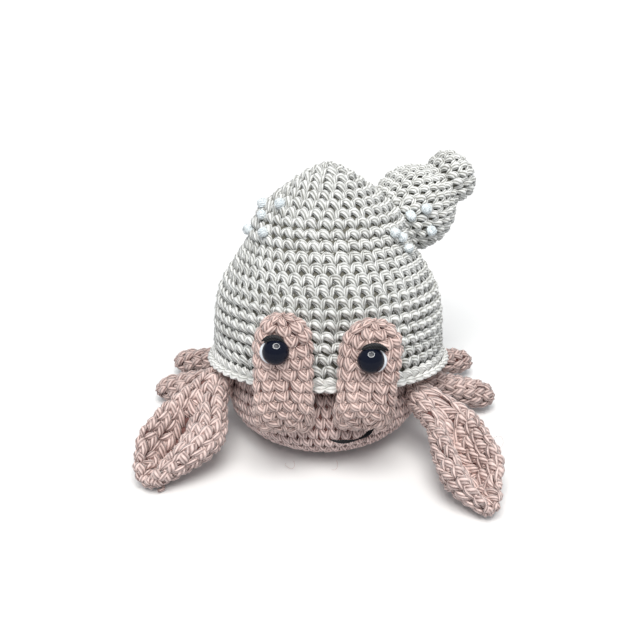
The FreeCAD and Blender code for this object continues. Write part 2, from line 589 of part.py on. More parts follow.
def make_eye(side):
    """The domed eye with its shank, its locking washer, the felt disc behind it and the lash line."""
    place = eye_place(side)
    seat = raised(place, size("seam_gap") + size("felt_thickness") + size("seam_gap"))
    body = doc.addObject("PartDesign::Body", f"eye_{side}_body")
    sketch = new_sketch(body, f"eye_{side}_section", "XZ_Plane")
    shank = "-(sizes.cloth + 2 * sizes.seam_gap + sizes.felt_thickness + 1.5 * sizes.washer_thickness)"
    length = size("cloth") + 2 * size("washer_thickness")
    slim, wide, tall = size("shank_radius"), size("eye_radius"), size("eye_height")
    corners = [(0, -length), (slim, -length), (slim, 0), (wide, 0), (0, tall)]
    for start, stop in ((0, 1), (1, 2), (2, 3)):
        sketch.addGeometry(Part.LineSegment(Vector(*corners[start], 0), Vector(*corners[stop], 0)))
    bulge = (wide * wide + tall * tall) / (2 * tall)
    low_angle = math.asin((bulge - tall) / bulge)
    ball = Part.Circle(Vector(0, tall - bulge, 0), Vector(0, 0, 1), bulge)
    sketch.addGeometry(Part.ArcOfCircle(ball, low_angle, math.pi / 2))
    sketch.addGeometry(Part.LineSegment(Vector(*corners[4], 0), Vector(*corners[0], 0)))
    for first, second, end in ((0, 1, 1), (1, 2, 1), (2, 3, 1), (4, 0, 1)):
        sketch.addConstraint(Sketcher.Constraint("Coincident", first, 2, second, end))
    sketch.addConstraint(Sketcher.Constraint("Coincident", 3, 2, 4, 1))
    fix_point(sketch, 0, 1, "0", shank)
    fix_point(sketch, 1, 1, "sizes.shank_radius", shank)
    fix_point(sketch, 2, 1, "sizes.shank_radius", "0")
    fix_point(sketch, 3, 1, "sizes.eye_radius", "0")
    fix_point(sketch, 4, 1, "0", "sizes.eye_height")
    sketch.addConstraint(Sketcher.Constraint("PointOnObject", 3, 3, -2))
    turn = body.newObject("PartDesign::Revolution", f"eye_{side}_turn")
    turn.Profile = sketch
    turn.ReferenceAxis = (sketch, ["V_Axis"])
    turn.Angle = 360
    body.Placement = seat
    piece(f"eye_{side}", body)

    back = raised(place, -size("cloth") - size("seam_gap") - size("washer_thickness"))
    hole = "sizes.shank_radius + sizes.shank_gap"
    washer = disc(f"washer_{side}", "sizes.washer_thickness", "sizes.washer_radius", hole, back)
    piece(f"eye_washer_{side}", washer)
    outward = "-sizes.felt_shift" if side == "left" else "sizes.felt_shift"
    front = raised(place, size("seam_gap"))
    felt = disc(f"felt_{side}", "sizes.felt_thickness", "sizes.felt_radius", hole, front, outward)
    piece(f"eye_white_{side}", felt)

    lid = doc.addObject("Part::Torus", f"lid_{side}")
    lid.setExpression("Radius1", "sizes.lid_radius")
    lid.setExpression("Radius2", "sizes.lid_thread")
    first, last = LID_ANGLES[side]
    lid.Angle3 = last - first
    level = 2 * size("seam_gap") + size("felt_thickness") + size("lid_thread")
    turned = Placement(Vector(0, 0, level), Rotation(Vector(0, 0, 1), first))
    lid.Placement = place.multiply(turned)
    piece(f"eyelid_{side}", lid)


def limb_hinge(azimuth, level, root):
    """The middle of a limb's rounded root, which just clears the body."""
    spin = math.radians(azimuth)
    away = body_radius_at(level) + size("joint_gap") * 2 + root
    return Vector(away * math.cos(spin) - size("body_left"), away * math.sin(spin) + size("body_back"), level)


def grooved_oval(wide, deep, groove, spread, level):
    """A claw's section: a flat oval with a groove along its upper side, opened by the spread."""
    def at(across, up):
        return Vector(wide * across, up, level)
    lobe, valley = deep, deep - groove
    half = math.sqrt(0.5)
    lobe_share, lip_share = CLAW_LOBE_SHARE + spread * half, CLAW_LIP_SHARE + spread
    right = at(1, 0)
    left = at(-1, 0)
    runs = [
        (right, at(CLAW_SHOULDER_SHARE, deep * half), at(lobe_share, lobe)),
        (at(lobe_share, lobe), at(lip_share, lobe - groove * half), at(0, valley)),
        (at(0, valley), at(-lip_share, lobe - groove * half), at(-lobe_share, lobe)),
        (at(-lobe_share, lobe), at(-CLAW_SHOULDER_SHARE, deep * half), left),
        (left, at(-half, -deep * half), at(0, -deep)),
        (at(0, -deep), at(half, -deep * half), right),
    ]
    return Part.Wire([Part.Arc(*run).toShape() for run in runs])


def claw_loft(side, inset):
    """A claw's grooved pouch along its own Z axis, with the hinge at zero, drawn in by the inset."""
    length = size("claw_root") + size(f"claw_{side}_reach") + size("claw_tip")
    wires = []
    for along, width_share, depth_share, groove_share in CLAW_SHARES:
        level = inset + (length - 2 * inset) * along - size("claw_root")
        wide = (size("claw_width") / 2 - inset) * width_share
        deep = (size("claw_depth") / 2 - inset) * depth_share
        groove = size("claw_depth") * depth_share * groove_share
        spread = CLAW_SPREAD_SHARE * inset / size("claw_width")
        wires.append(grooved_oval(wide, deep, groove, spread, level))
    return Part.makeLoft(wires, True, False)


def make_claw(side):
    """A claw's cover and its stuffing."""
    azimuth, heading, droop = CLAW_ANGLES[side]
    place = aimed(limb_hinge(azimuth, size("claw_level"), size("claw_root")), heading, droop)
    outside = shaped(f"claw_{side}_outside", claw_loft(side, 0))
    inside = shaped(f"claw_{side}_inside", claw_loft(side, size("cloth")))
    for form in (outside, inside):
        form.Placement = place
    piece(f"claw_cover_{side}", cut(f"claw_{side}", outside, inside))
    fill = shaped(f"claw_{side}_fill", claw_loft(side, size("cloth") + size("stuffing_gap")))
    fill.Placement = place
    piece(f"claw_stuffing_{side}", fill)


def make_leg(corner):
    """A leg's cover and its stuffing."""
    azimuth, heading, droop = LEG_ANGLES[corner]
    hinge = aimed(limb_hinge(azimuth, size("leg_level"), size("leg_root")), heading, droop)
    place = raised(hinge, -size("leg_root"))
    length = f"(sizes.leg_root + sizes.leg_{corner}_reach + sizes.leg_tip)"
    radius = "sizes.leg_stout_radius" if corner in STOUT_LEGS else "sizes.leg_slim_radius"
    outside = round_form(f"leg_{corner}_outside", LEG_SHARES, length, radius, "0", place)
    inside = round_form(f"leg_{corner}_inside", LEG_SHARES, length, radius, "sizes.cloth", place)
    piece(f"leg_cover_{corner}", cut(f"leg_{corner}", outside, inside))
    gap = "(sizes.cloth + sizes.stuffing_gap)"
    piece(f"leg_stuffing_{corner}", round_form(f"leg_{corner}_fill", LEG_SHARES, length, radius, gap, place))


make_body()
make_mouth()
make_shell()
make_spire()
make_knots()
for side in ("left", "right"):
    make_stalk(side)
    make_eye(side)
    make_claw(side)
for corner in LEG_ANGLES:
    make_leg(corner)
doc.recompute()

# Every object has to be sound before anything is written
for item in doc.Objects:
    if "Invalid" in item.State or "Error" in item.State:
        raise RuntimeError(f"{item.Name} failed: {item.State}")
os.makedirs("parts", exist_ok=True)
for item in pieces:
    shape = item.Shape
    if shape.isNull() or not shape.isValid() or not shape.Solids:
        raise RuntimeError(f"{item.Label} has no sound solid")
for item in pieces:
    item.Shape.exportStep(f"parts/{item.Label}.step")
    print(f"{item.Label}: {len(item.Shape.Solids)} solid, {item.Shape.Volume:.1f} mm3")
print("shell axis", SHELL_TURN.multVec(Vector(0, 0, 1)))
for side in ("left", "right"):
    print("stalk hinge", side, stalk_hinge(side))
    print("eye place", side, eye_place(side))
    azimuth, heading, droop = CLAW_ANGLES[side]
    print("claw hinge", side, limb_hinge(azimuth, size("claw_level"), size("claw_root")))
for corner, (azimuth, heading, droop) in LEG_ANGLES.items():
    print("leg hinge", corner, limb_hinge(azimuth, size("leg_level"), size("leg_root")))
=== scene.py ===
import json
import math

import bpy
import numpy as np
from mathutils import Matrix, Vector
from mathutils.bvhtree import BVHTree


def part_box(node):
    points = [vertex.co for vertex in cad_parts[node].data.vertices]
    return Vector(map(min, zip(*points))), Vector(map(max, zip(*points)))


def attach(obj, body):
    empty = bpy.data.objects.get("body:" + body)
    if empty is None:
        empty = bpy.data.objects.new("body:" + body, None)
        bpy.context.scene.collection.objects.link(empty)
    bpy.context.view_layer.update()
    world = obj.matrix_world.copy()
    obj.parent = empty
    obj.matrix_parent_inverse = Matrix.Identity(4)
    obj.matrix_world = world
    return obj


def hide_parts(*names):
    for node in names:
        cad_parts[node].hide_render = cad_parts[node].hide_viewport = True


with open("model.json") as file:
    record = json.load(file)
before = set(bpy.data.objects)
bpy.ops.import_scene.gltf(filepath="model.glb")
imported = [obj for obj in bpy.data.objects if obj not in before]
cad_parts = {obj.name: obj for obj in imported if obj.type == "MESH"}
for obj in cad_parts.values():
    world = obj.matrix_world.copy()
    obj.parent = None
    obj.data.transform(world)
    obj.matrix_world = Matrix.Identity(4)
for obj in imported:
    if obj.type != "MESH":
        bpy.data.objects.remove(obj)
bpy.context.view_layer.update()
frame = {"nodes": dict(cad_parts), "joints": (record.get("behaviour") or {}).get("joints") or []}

# Camera
# A phone held above the table: 29 degrees over the floor, straight in front of the crab, about
# 43 cm from it, with the crab a little below the middle of the frame.
aim = Vector((-0.0024, 0.0, 0.0415))
height_angle = math.radians(29)
camera_data = bpy.data.cameras.new("camera")
camera_data.sensor_width = 36
camera_data.lens = 70.9
camera = bpy.data.objects.new("camera", camera_data)
bpy.context.scene.collection.objects.link(camera)
away = Vector((0, -math.cos(height_angle), math.sin(height_angle)))
camera.location = aim + away * 0.429
camera.rotation_euler = (math.pi / 2 - height_angle, 0, 0)
bpy.context.scene.camera = camera
bpy.context.scene.view_settings.view_transform = "Standard"

# Floor
# A plain table top that runs out of sight and takes the crab's soft shadow. It is white to the
# camera and darker in every bounce, so that little light comes back from below.


def white_to_camera(tree, colour, socket):
    """Gives a colour socket pure white where the camera looks, and the colour in every bounce."""
    path = tree.nodes.new("ShaderNodeLightPath")
    mix = tree.nodes.new("ShaderNodeMix")
    mix.data_type = "RGBA"
    mix.inputs["A"].default_value = (*colour, 1)
    mix.inputs["B"].default_value = (1, 1, 1, 1)
    tree.links.new(path.outputs["Is Camera Ray"], mix.inputs["Factor"])
    tree.links.new(mix.outputs["Result"], socket)


floor_mesh = bpy.data.meshes.new("floor")
floor_mesh.from_pydata([(-3, -3, 0), (3, -3, 0), (3, 3, 0), (-3, 3, 0)], [], [(0, 1, 2, 3)])
floor = bpy.data.objects.new("floor", floor_mesh)
bpy.context.scene.collection.objects.link(floor)
floor_material = bpy.data.materials.new("floor")
floor_material.use_nodes = True
floor_shader = floor_material.node_tree.nodes["Principled BSDF"]
floor_shader.inputs["Roughness"].default_value = 0.9
floor_shader.inputs["Specular IOR Level"].default_value = 0.1
white_to_camera(floor_material.node_tree, (0.60, 0.60, 0.61), floor_shader.inputs["Base Color"])
floor_mesh.materials.append(floor_material)

# Lights
# Soft daylight from above and in front, in a pale room that the camera sees as white, and a ring
# lamp over the front, which shows as a ring in the eyes.
world = bpy.data.worlds.new("room")
bpy.context.scene.world = world
world.use_nodes = True
room = world.node_tree.nodes["Background"]
white_to_camera(world.node_tree, (0.414, 0.432, 0.45), room.inputs["Color"])

sun_data = bpy.data.lights.new("daylight", "SUN")
sun_data.energy = 2.9
sun_data.angle = math.radians(38)
sun_data.color = (1, 0.985, 0.955)
sun = bpy.data.objects.new("daylight", sun_data)
sun.rotation_euler = Vector((0.02, 0.44, -0.88)).to_track_quat("-Z", "Y").to_euler()
bpy.context.scene.collection.objects.link(sun)

lamp_mesh = bpy.data.meshes.new("ring_lamp")
lamp_inside, lamp_outside, lamp_sides = 0.18, 0.21, 48
lamp_spin = [2 * math.pi * k / lamp_sides for k in range(lamp_sides)]
lamp_edge = [(r * math.cos(a), r * math.sin(a), 0) for r in (lamp_inside, lamp_outside) for a in lamp_spin]
lamp_next = [(k + 1) % lamp_sides for k in range(lamp_sides)]
lamp_faces = [(k, n, lamp_sides + n, lamp_sides + k) for k, n in enumerate(lamp_next)]
lamp_mesh.from_pydata(lamp_edge, [], lamp_faces)
lamp_material = bpy.data.materials.new("ring_lamp")
lamp_material.use_nodes = True
lamp_tree = lamp_material.node_tree
glow = lamp_tree.nodes.new("ShaderNodeEmission")
glow.inputs["Strength"].default_value = 60
lamp_tree.links.new(glow.outputs[0], lamp_tree.nodes["Material Output"].inputs["Surface"])
lamp_mesh.materials.append(lamp_material)
ring_lamp = bpy.data.objects.new("ring_lamp", lamp_mesh)
lamp_height_angle = math.radians(70)
lamp_way = Vector((0.06, -math.cos(lamp_height_angle), math.sin(lamp_height_angle)))
ring_lamp.location = Vector((0, -0.03, 0.05)) + lamp_way * 0.45
ring_lamp.rotation_euler = (-lamp_way).to_track_quat("Z", "Y").to_euler()
ring_lamp.visible_camera = False
ring_lamp.visible_diffuse = False
bpy.context.scene.collection.objects.link(ring_lamp)

# Body
# A round bag of pink cotton, crocheted in a spiral from its foot up and stuffed; every stitch is a
# V of two strands. Above the shell's rim it goes on as the abdomen that the shell sits on.


def face_tree(node):
    """A search tree of a node's faces."""
    mesh = frame["nodes"][node].data
    return BVHTree.FromPolygons([v.co for v in mesh.vertices], [tuple(p.vertices) for p in mesh.polygons])


def survey(node, start, stop, side, caps=(True, True), inward=False, rows=90, turns=120):
    """Reads a cover's face as a grid of points: rows from end to end, turns round the spine.

    A capped end is read from its pole, and an inward survey reads the inner face from the spine.
    """
    tree, beyond = face_tree(node), 0.2
    start, stop = Vector(start), Vector(stop)
    spine = stop - start
    axis = spine.normalized()
    right = (Vector(side) - axis * Vector(side).dot(axis)).normalized()
    back = axis.cross(right)
    sweep = rows // 3
    lines = []
    if caps[0]:
        lines += [(start, -math.pi / 2 * (1 - k / sweep)) for k in range(sweep)]
    lines += [(start + spine * (k / (rows - 1)), 0.0) for k in range(rows)]
    if caps[1]:
        lines += [(stop, math.pi / 2 * (k + 1) / sweep) for k in range(sweep)]
    grid = np.full((len(lines), turns, 3), np.nan)
    for i, (centre, tilt) in enumerate(lines):
        for k in range(turns):
            spin = 2 * math.pi * k / turns
            way = right * math.cos(spin) + back * math.sin(spin)
            way = way * math.cos(tilt) + axis * math.sin(tilt)
            if inward:
                hit = tree.ray_cast(centre, way, beyond)[0]
            else:
                hit = tree.ray_cast(centre + way * beyond, -way, beyond)[0]
            if hit:
                grid[i, k] = hit
    grid = grid[~np.isnan(grid).any(axis=(1, 2))]
    for _ in range(3):
        inner = grid.copy()
        inner[1:-1] = (grid[:-2] + 2 * grid[1:-1] + grid[2:]) / 4
        grid = (np.roll(inner, 1, 1) + 2 * inner + np.roll(inner, -1, 1)) / 4
    step = np.linalg.norm(np.diff(grid, axis=0), axis=2)
    length = np.vstack([np.zeros(turns), np.cumsum(step, axis=0)])
    even = np.empty((rows, turns, 3))
    for k in range(turns):
        for c in range(3):
            even[:, k, c] = np.interp(np.linspace(0, length[-1, k], rows), length[:, k], grid[:, k, c])
    return finished_face(even, np.array(start + spine / 2), caps[1], inward)


def finished_face(even, middle, closed, inward=False):
    """A grid of points made even round each row, with its normals and length."""
    rows, turns = even.shape[:2]
    for i in range(rows):
        ring = np.vstack([even[i], even[i, :1]])
        run = np.concatenate([[0], np.cumsum(np.linalg.norm(np.diff(ring, axis=0), axis=1))])
        if run[-1] > 1e-4:
            for c in range(3):
                even[i, :, c] = np.interp(np.linspace(0, run[-1], turns, endpoint=False), run, ring[:, c])
    length = np.linalg.norm(np.diff(even, axis=0), axis=2).sum(0)
    across = np.roll(even, -1, 1) - np.roll(even, 1, 1)
    along = np.gradient(even, axis=0)
    normal = np.cross(across, along)
    normal[0], normal[-1] = normal[1].mean(0), normal[-2].mean(0) if closed else normal[-1]
    normal /= np.maximum(np.linalg.norm(normal, axis=2, keepdims=True), 1e-12)
    if ((even - middle) * normal).sum() < 0:
        normal = -normal
    if inward:
        normal = -normal
    return {"points": even, "normals": normal, "length": float(length.mean())}


def on_face(face, s, t, lift):
    """Points on a surveyed face at row s and turn t, raised by the lift."""
    rows, turns = face["points"].shape[:2]
    s = np.clip(s, 0, rows - 1.001)
    low = s.astype(int)
    t0 = np.floor(t).astype(int)
    fs, ft = (s - low)[..., None], (t - t0)[..., None]
    a, b = t0 % turns, (t0 + 1) % turns

    def mixed(grid):
        near = grid[low, a] * (1 - ft) + grid[low, b] * ft
        far = grid[low + 1, a] * (1 - ft) + grid[low + 1, b] * ft
        return near * (1 - fs) + far * fs

    return mixed(face["points"]) + mixed(face["normals"]) * lift[..., None]


def stitch_places(face, pitch, rise, drift=0.5, least=6, seed=1, wobble=0.05):
    """Where a spiral of stitches lies: row, turn and width in turns, with a random tone and lean each."""
    rng = np.random.default_rng(seed)
    rows, turns = face["points"].shape[:2]
    rounds = max(1, round(face["length"] / rise))
    places, offset = [], 0.0
    for i in range(rounds):
        s = (i + 0.5) / rounds * (rows - 1)
        ring = face["points"][int(round(s))]
        girth = np.linalg.norm(np.roll(ring, -1, 0) - ring, axis=1).sum()
        count = max(least, round(girth / pitch))
        offset += drift
        for k in range(count):
            wander = rng.normal(0, 0.03 + 0.2 * wobble, 2)
            places.append((s + wander[0] * 2, (k + offset + wander[1]) * turns / count, turns / count,
                           rng.random(), i, rng.normal(0, wobble)))
    names = ("rows", "turns", "widths", "tones", "rounds", "leans")
    found = dict(zip(names, np.array(places).T))
    found.update(row_step=(rows - 1) / rounds, rise=face["length"] / rounds, pitch=pitch)
    return found


def strand_form(legs, sections, sides, pitch, rise, plies=0.14, twist=1.6, flat=0.7):
    """Vertices of one stitch's strands as (across, along, lift) in metres, with their faces and marks.

    Each leg is a bowed leaf of twisted plies: its start, bend and end as shares of the stitch, its
    thickness, and how far its middle stands out and its ends dive.
    """
    spots, faces, dive_shades, charts = [], [], [], []
    for number, (begin, bend, end, thick, crest, dive) in enumerate(legs):
        begin, bend, end = (np.array(p) * (pitch, rise) for p in (begin, bend, end))
        base = len(spots)
        for i in range(sections):
            k = i / (sections - 1)
            centre = begin * (1 - k) ** 2 + 2 * bend * k * (1 - k) + end * k * k
            way = 2 * (bend - begin) * (1 - k) + 2 * (end - bend) * k
            way = way / np.linalg.norm(way)
            swell = math.sin(math.pi * (0.07 + 0.86 * k ** 0.85)) ** 0.6
            lift = dive + (crest - dive) * math.sin(math.pi * k) ** 0.7
            for j in range(sides):
                angle = 2 * math.pi * j / sides + twist * k
                reach = thick * swell * (1 + (plies if j % 2 == 0 else -plies))
                out = reach * math.cos(angle)
                spots.append((centre[0] - way[1] * out, centre[1] + way[0] * out,
                              lift + flat * reach * math.sin(angle)))
                # The bulge mark is painted shade: 1 in the strand's middle, 0 at its ends where it dives into
                # the cloth.
                dive_shades.append(math.sin(math.pi * k))
        for i in range(sections - 1):
            for j in range(sides):
                n = (j + 1) % sides
                faces.append((base + i * sides + j, base + i * sides + n,
                              base + (i + 1) * sides + n, base + (i + 1) * sides + j))
                charts.append([(number, x / (sections - 1), y / sides, y / 2)
                               for x, y in ((i, j), (i, j + 1), (i + 1, j + 1), (i + 1, j))])
    return {"spots": np.array(spots), "faces": np.array(faces), "dive_shades": dive_shades,
            "charts": np.array(charts), "legs": len(legs)}


def made_piece(name, points, faces, material, body, marks=None, places=None, ply_marks=None):
    """A smooth mesh piece that rides on a body, with its marks for the shader and its bake map."""
    mesh = bpy.data.meshes.new(name)
    mesh.vertices.add(len(points))
    mesh.vertices.foreach_set("co", np.asarray(points, np.float32).ravel())
    corners = faces.shape[1]
    mesh.loops.add(faces.size)
    mesh.loops.foreach_set("vertex_index", faces.ravel().astype(np.int32))
    mesh.polygons.add(len(faces))
    mesh.polygons.foreach_set("loop_start", np.arange(0, faces.size, corners, dtype=np.int32))
    mesh.update(calc_edges=True)
    mesh.validate()
    mesh.polygons.foreach_set("use_smooth", np.ones(len(mesh.polygons), bool))
    for mark, values in (marks or {}).items():
        layer = mesh.attributes.new(mark, "FLOAT", "POINT")
        layer.data.foreach_set("value", np.asarray(values, np.float32))
    if ply_marks is not None:
        layer = mesh.attributes.new("ply", "FLOAT", "CORNER")
        layer.data.foreach_set("value", np.asarray(ply_marks, np.float32))
    if places is not None:
        layer = mesh.uv_layers.new(name="OFBake")
        layer.uv.foreach_set("vector", np.asarray(places, np.float32).ravel())
    mesh.materials.append(material)
    piece = bpy.data.objects.new(name, mesh)
    bpy.context.scene.collection.objects.link(piece)
    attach(piece, body)
    return piece


def stitched(name, face, places, form, material, body, keep=None):
    """Lays a stitch's strands on every place of a face and makes them one piece."""
    chosen = np.arange(len(places["rows"])) if keep is None else np.flatnonzero(keep)
    spots = form["spots"]
    lean = places["leans"][chosen, None]
    across = spots[None, :, 0] * np.cos(lean) - spots[None, :, 1] * np.sin(lean)
    along = spots[None, :, 0] * np.sin(lean) + spots[None, :, 1] * np.cos(lean)
    t = places["turns"][chosen, None] - across / places["pitch"] * places["widths"][chosen, None]
    s = places["rows"][chosen, None] + along / places["rise"] * places["row_step"]
    uneven = 0.0001 * places["tones"][chosen, None]
    lift = np.broadcast_to(spots[None, :, 2], t.shape) + uneven
    points = on_face(face, s, t, lift).reshape(-1, 3)
    count, many = len(chosen), len(spots)
    faces = (form["faces"][None] + (np.arange(count) * many)[:, None, None]).reshape(-1, 4)
    # The bulge mark carries the painted shade at the strands' ends; tone is each stitch's own random tone.
    marks = {"bulge": np.tile(form["dive_shades"], count), "tone": np.repeat(places["tones"][chosen], many)}
    wide = math.ceil(math.sqrt(count * form["legs"]))
    cell = np.arange(count)[:, None, None] * form["legs"] + form["charts"][None, :, :, 0]
    u = (cell % wide + 0.04 + 0.92 * form["charts"][None, :, :, 1]) / wide
    v = (cell // wide + 0.04 + 0.92 * form["charts"][None, :, :, 2]) / wide
    bake_places = np.stack([u, v], -1).reshape(-1, 2)
    ply_marks = np.broadcast_to(form["charts"][None, :, :, 3], u.shape).ravel()
    return made_piece(name, points, faces, material, body, marks, bake_places, ply_marks)


def grid_faces(rows, turns):
    """The four corners of each cell of a grid of points that closes on itself round its turns."""
    i, k = np.meshgrid(np.arange(rows - 1), np.arange(turns), indexing="ij")
    n = (k + 1) % turns
    return np.stack([i * turns + k, i * turns + n, (i + 1) * turns + n, (i + 1) * turns + k], -1)


def backing(name, face, depth, material, body, rows=60, turns=72):
    """The closed sheet under the stitches, seen only between them; with a dark cloth material it is painted
    shade in the gaps.
    """
    s = np.linspace(0, face["points"].shape[0] - 1.001, rows)
    t = np.arange(turns) * face["points"].shape[1] / turns
    points = on_face(face, *np.meshgrid(s, t, indexing="ij"), np.full((rows, turns), -depth))
    return made_piece(name, points.reshape(-1, 3), grid_faces(rows, turns).reshape(-1, 4), material, body)


def yarn_group():
    """Colour and roughness of twisted cotton, with painted shade between its plies and where a strand dives.
    """
    group = bpy.data.node_groups.new("yarn", "ShaderNodeTree")
    for title, kind in (("Light", "NodeSocketColor"), ("Painted_Shade", "NodeSocketColor")):
        group.interface.new_socket(title, in_out="INPUT", socket_type=kind)
    for title, kind in (("Color", "NodeSocketColor"), ("Rough", "NodeSocketFloat"),
                        ("Normal", "NodeSocketVector")):
        group.interface.new_socket(title, in_out="OUTPUT", socket_type=kind)
    nodes, links = group.nodes, group.links
    taken, given = nodes.new("NodeGroupInput"), nodes.new("NodeGroupOutput")

    def mark(title):
        node = nodes.new("ShaderNodeAttribute")
        node.attribute_name = title
        return node.outputs["Fac"]

    def result(kind, first, second=0):
        node = nodes.new("ShaderNodeMath")
        node.operation = kind
        for socket, value in zip(node.inputs, (first, second)):
            if isinstance(value, (int, float)):
                socket.default_value = value
            else:
                links.new(value, socket)
        return node.outputs[0]

    def plus(first, second):
        return result("ADD", first, second)

    def times(first, second):
        return result("MULTIPLY", first, second)

    place = nodes.new("ShaderNodeTexCoord")

    def noise(scale):
        node = nodes.new("ShaderNodeTexNoise")
        node.inputs["Scale"].default_value = scale
        links.new(place.outputs["Object"], node.inputs["Vector"])
        return node.outputs["Fac"]

    speckle, patch, ripple = noise(900), noise(45), noise(160)
    turn = plus(times(mark("ply"), 2 * math.pi), math.pi / 2 - 0.7)
    turn = plus(turn, times(ripple, 1.4))
    fine = plus(times(result("SINE", turn), 0.5), 0.5)
    fine = result("POWER", fine, 0.47)
    # Painted shade: the colour falls to the dark colour in the grooves between the plies (fine) and towards
    # each strand's ends (bulge); tone, speckle and patch are the yarn's own uneven colour.
    lit = plus(times(fine, 0.85), times(mark("bulge"), 0.36))
    lit = plus(lit, times(plus(mark("tone"), -0.5), 0.22))
    lit = plus(lit, times(plus(speckle, -0.5), 0.5))
    lit = plus(lit, times(plus(patch, -0.5), 0.4))
    mix = nodes.new("ShaderNodeMix")
    mix.data_type = "RGBA"
    mix.clamp_factor = True
    links.new(plus(lit, -0.15), mix.inputs["Factor"])
    links.new(taken.outputs["Painted_Shade"], mix.inputs["A"])
    links.new(taken.outputs["Light"], mix.inputs["B"])
    links.new(mix.outputs["Result"], given.inputs["Color"])
    links.new(plus(times(speckle, 0.12), 0.66), given.inputs["Rough"])
    bump = nodes.new("ShaderNodeBump")
    bump.inputs["Strength"].default_value = 0.9
    bump.inputs["Distance"].default_value = 0.0002
    links.new(plus(fine, times(speckle, 0.5)), bump.inputs["Height"])
    links.new(bump.outputs["Normal"], given.inputs["Normal"])
    return group


def yarn_material(name, light, painted_shade, sheen=0.25):
    """A yarn's material from its lit colour and a painted shade colour for between its plies and where a
    strand dives.
    """
    material = bpy.data.materials.new(name)
    material.use_nodes = True
    tree = material.node_tree
    look = tree.nodes.new("ShaderNodeGroup")
    look.node_tree = yarn_look
    look.inputs["Light"].default_value = (*light, 1)
    look.inputs["Painted_Shade"].default_value = (*painted_shade, 1)
    shader = tree.nodes["Principled BSDF"]
    shader.inputs["Specular IOR Level"].default_value = 0.3
    shader.inputs["Sheen Weight"].default_value = sheen
    shader.inputs["Sheen Roughness"].default_value = 0.5
    tree.links.new(look.outputs["Color"], shader.inputs["Base Color"])
    tree.links.new(look.outputs["Rough"], shader.inputs["Roughness"])
    tree.links.new(look.outputs["Normal"], shader.inputs["Normal"])
    return material


def plain_material(name, colour, roughness, gloss=0.5):
    """One even colour: for the dark cloth between the stitches, which is painted shade, and for felt and
    plastic.
    """
    material = bpy.data.materials.new(name)
    material.use_nodes = True
    shader = material.node_tree.nodes["Principled BSDF"]
    shader.inputs["Base Color"].default_value = (*colour, 1)
    shader.inputs["Roughness"].default_value = roughness
    shader.inputs["Specular IOR Level"].default_value = gloss
    return material


# Each yarn gets its lit colour and a dark colour that is painted shade between its plies and at its strands'
# ends.
yarn_look = yarn_group()
pink_body = yarn_material("pink_yarn_body", (1.0, 0.79, 0.745), (0.14, 0.045, 0.038))
# A dark pink cloth: painted shade in the gaps between the pink stitches.
pink_shade_cloth = plain_material("pink_yarn_painted_shade", (0.20, 0.10, 0.09), 0.95, 0.1)


def drawn_in(face, low, share):
    """Draws the foot of a face in towards the middle, so that it rounds off before the floor."""
    keep = 1 - share * np.clip(1 - face["points"][..., 2:] / low, 0, 1)
    face["points"][..., :2] *= keep
    return face


body_low_middle, body_high_middle = (-0.001, 0.0015, 0.012), (0.0005, 0.014, 0.045)
foot_height, foot_share = 0.012, 0.08
body_pitch, body_rise, body_cloth_depth = 0.0036, 0.0037, 0.0012
body_face = survey("body_cover", body_low_middle, body_high_middle, (0, -1, 0), rows=110)
body_face = drawn_in(body_face, foot_height, foot_share)
v_stitch = [((0.02, -0.60), (-0.20, -0.1), (-0.40, 0.54), 0.00104, -0.0007, -0.0013),
            ((-0.04, -0.58), (0.20, 0.0), (0.44, 0.58), 0.00110, -0.0006, -0.0013)]
body_places = stitch_places(body_face, body_pitch, body_rise, seed=11)
low_rounds = body_places["rounds"] <= body_places["rounds"].max() * 0.45
piece = stitched("body_stitches_low", body_face, body_places,
                 strand_form(v_stitch, 9, 10, body_pitch, body_rise), pink_body, "body", low_rounds)
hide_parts("body_cover")
piece = stitched("body_stitches_high", body_face, body_places,
                 strand_form(v_stitch, 7, 8, body_pitch, body_rise), pink_body, "body", ~low_rounds)
piece = backing("body_cloth", body_face, body_cloth_depth, pink_shade_cloth, "body")

# Shell
# Off-white cotton crocheted from the peak down in a spiral. The stitches are seen upside down, each
# one a fat caret: a short steep strand on the left and a long slanting one on the right.


def joint_value(name, key):
    """The place or the axis of a joint of the frame."""
    return next(Vector(joint[key]) for joint in frame["joints"] if joint["name"] == name)


shell_axis = joint_value("shell_lift", "axis").normalized()
low_corner, high_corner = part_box("shell_edging")
shell_foot = Vector(((low_corner.x + high_corner.x) / 2, 0.007, 0.0236))
shell_rim_middle = shell_foot + shell_axis * 0.0035
shell_high_middle = shell_foot + shell_axis * 0.052
shell_pitch, shell_rise, shell_cloth_depth = 0.0045, 0.0041, 0.0014
grey_yarn = yarn_material("grey_yarn_shell", (0.94, 0.95, 0.935), (0.15, 0.145, 0.115))
# A dark grey cloth: painted shade in the gaps between the shell's stitches.
grey_shade_cloth = plain_material("grey_yarn_painted_shade", (0.15, 0.145, 0.12), 0.95, 0.1)
shell_face = survey("shell_cover", shell_high_middle, shell_rim_middle, (1, 0, 0),
                    caps=(True, False), rows=120)
caret_stitch = [((-0.06, -0.46), (-0.42, -0.40), (-0.42, 0.48), 0.00098, -0.0004, -0.0013),
                ((-0.30, -0.40), (0.20, -0.56), (0.46, 0.50), 0.00136, 0.0, -0.0014)]
shell_places = stitch_places(shell_face, shell_pitch, shell_rise, drift=0.37, seed=5, wobble=0.07)
shell_form = strand_form(caret_stitch, 10, 12, shell_pitch, shell_rise)
share = shell_places["rounds"] / (shell_places["rounds"].max() + 1)
for name, low, high in (("crown", 0, 0.55), ("middle", 0.55, 0.8), ("low", 0.8, 1.01)):
    keep = (share >= low) & (share < high)
    piece = stitched(f"shell_stitches_{name}", shell_face, shell_places, shell_form, grey_yarn, "shell", keep)
    if name == "low":
        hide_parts("shell_cover")
piece = backing("shell_cloth", shell_face, shell_cloth_depth, grey_shade_cloth, "shell")

